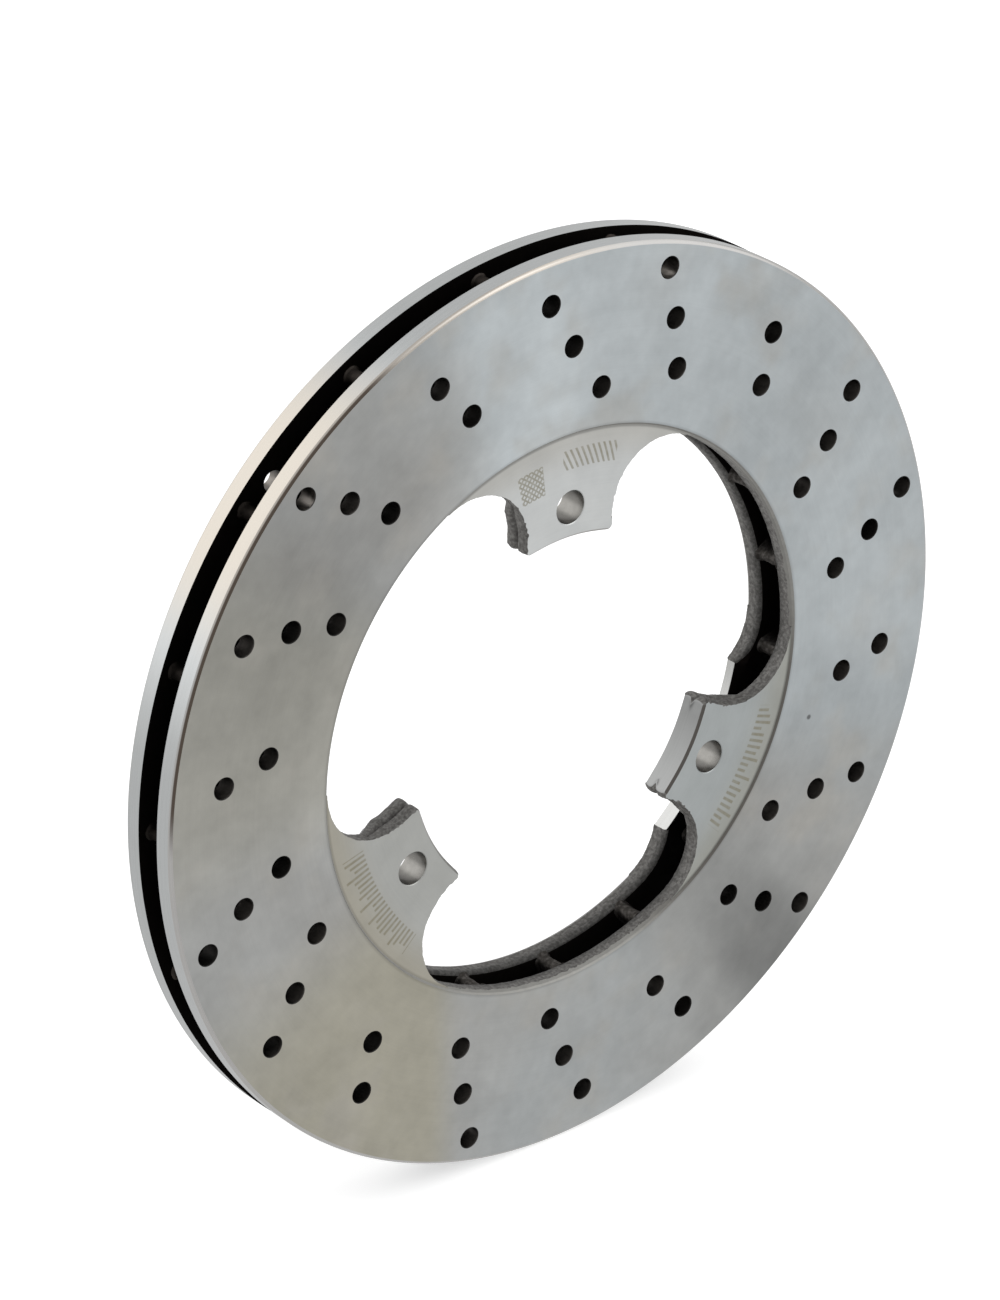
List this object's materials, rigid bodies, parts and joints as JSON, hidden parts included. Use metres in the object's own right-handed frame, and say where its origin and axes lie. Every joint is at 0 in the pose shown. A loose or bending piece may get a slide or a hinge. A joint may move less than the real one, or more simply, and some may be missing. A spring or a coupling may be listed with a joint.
{
  "type": "ventilated brake disc rotor",
  "caption": "Ventilated, cross-drilled brake disc with slanted cooling vanes, a stepped bore and inward mounting lugs on one side.",
  "frame": {"origin": "on the axle line, halfway between the two friction faces", "axes": "+Y along the axle from the front face to the rear face; +Z towards mounting lug 1, up when the disc stands; +X to the right seen from the front"},
  "size_m": [0.195, 0.014, 0.195],
  "materials": {
    "ground_iron": "ground pad track, turned rim, rough as-cast bore and slot",
    "machined_iron": "machined faces with rough sand-cast sides",
    "raw_cast_iron": "dark, rough, as cast"
  },
  "bodies": {
    "root": {"front_friction_ring": "ground_iron", "rear_friction_ring": "ground_iron", "mounting_lug_1": "machined_iron", "mounting_lug_2": "machined_iron", "mounting_lug_3": "machined_iron", "rear_pilot_ear_1": "machined_iron", "rear_pilot_ear_2": "machined_iron", "rear_pilot_ear_3": "machined_iron", "cooling_vane_01": "raw_cast_iron", "cooling_vane_02": "raw_cast_iron", "cooling_vane_03": "raw_cast_iron", "cooling_vane_04": "raw_cast_iron", "cooling_vane_05": "raw_cast_iron", "cooling_vane_06": "raw_cast_iron", "cooling_vane_07": "raw_cast_iron", "cooling_vane_08": "raw_cast_iron", "cooling_vane_09": "raw_cast_iron", "cooling_vane_10": "raw_cast_iron", "cooling_vane_11": "raw_cast_iron", "cooling_vane_12": "raw_cast_iron", "cooling_vane_13": "raw_cast_iron", "cooling_vane_14": "raw_cast_iron", "cooling_vane_15": "raw_cast_iron", "cooling_vane_16": "raw_cast_iron", "cooling_vane_17": "raw_cast_iron", "cooling_vane_18": "raw_cast_iron"}
  },
  "joints": []
}
